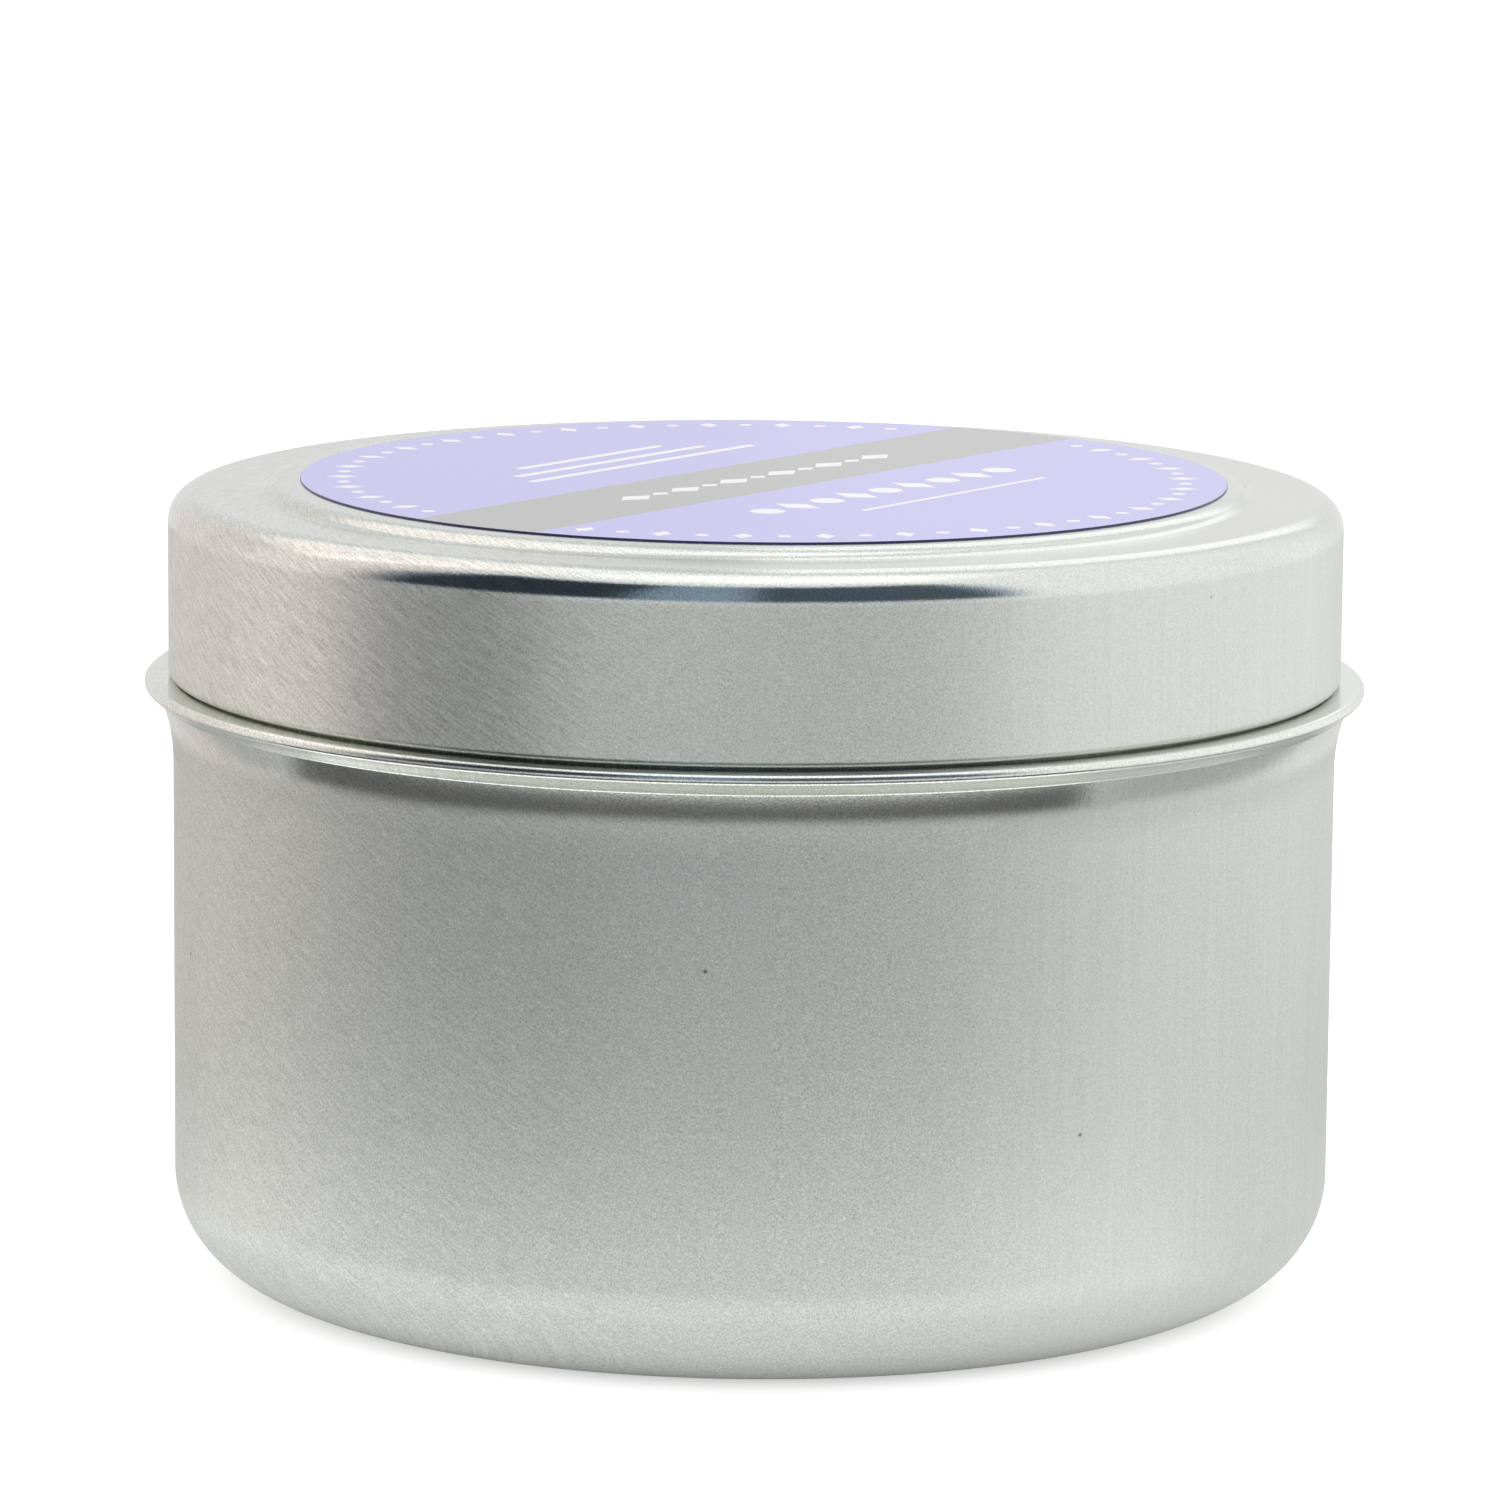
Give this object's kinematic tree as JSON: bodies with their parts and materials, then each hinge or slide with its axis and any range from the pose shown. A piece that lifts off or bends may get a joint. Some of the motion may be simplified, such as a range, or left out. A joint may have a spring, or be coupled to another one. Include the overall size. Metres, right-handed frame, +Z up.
{
  "type": "candle tin",
  "caption": "Round slip-lid tin with a container candle inside: drawn can with a stop bead, lift-off lid with a round label, wax and a tabbed wick.",
  "frame": {"origin": "centre of the foot ring, on the surface that the tin stands on", "axes": "+Z up along the tin's axis, -Y towards the front, +X to the right seen from the front"},
  "size_m": [0.0812, 0.0812, 0.0532],
  "materials": {
    "can_tinplate": "satin tinplate with a faint drawn grain",
    "lid_tinplate": "satin tinplate with fine scratches",
    "candle_wax": "smooth cream soy wax",
    "wick_cotton": "waxed cotton braid",
    "tab_steel": "stamped tinned steel",
    "sticker_foam": "double-sided adhesive foam",
    "base_label_paper": "matte printed paper",
    "lid_label_paper": "smooth printed paper, periwinkle with a grey band"
  },
  "bodies": {
    "can": {"can_body": "can_tinplate", "wax": "candle_wax", "wick": "wick_cotton", "wick_tab": "tab_steel", "wick_sticker": "sticker_foam", "base_label": "base_label_paper"},
    "lid": {"lid": "lid_tinplate", "lid_label": "lid_label_paper"}
  },
  "joints": [
    {"name": "lid_lift", "type": "slide", "parent": "can", "child": "lid", "axis": [0, 0, 1], "range_m": [0, 0.04]}
  ]
}
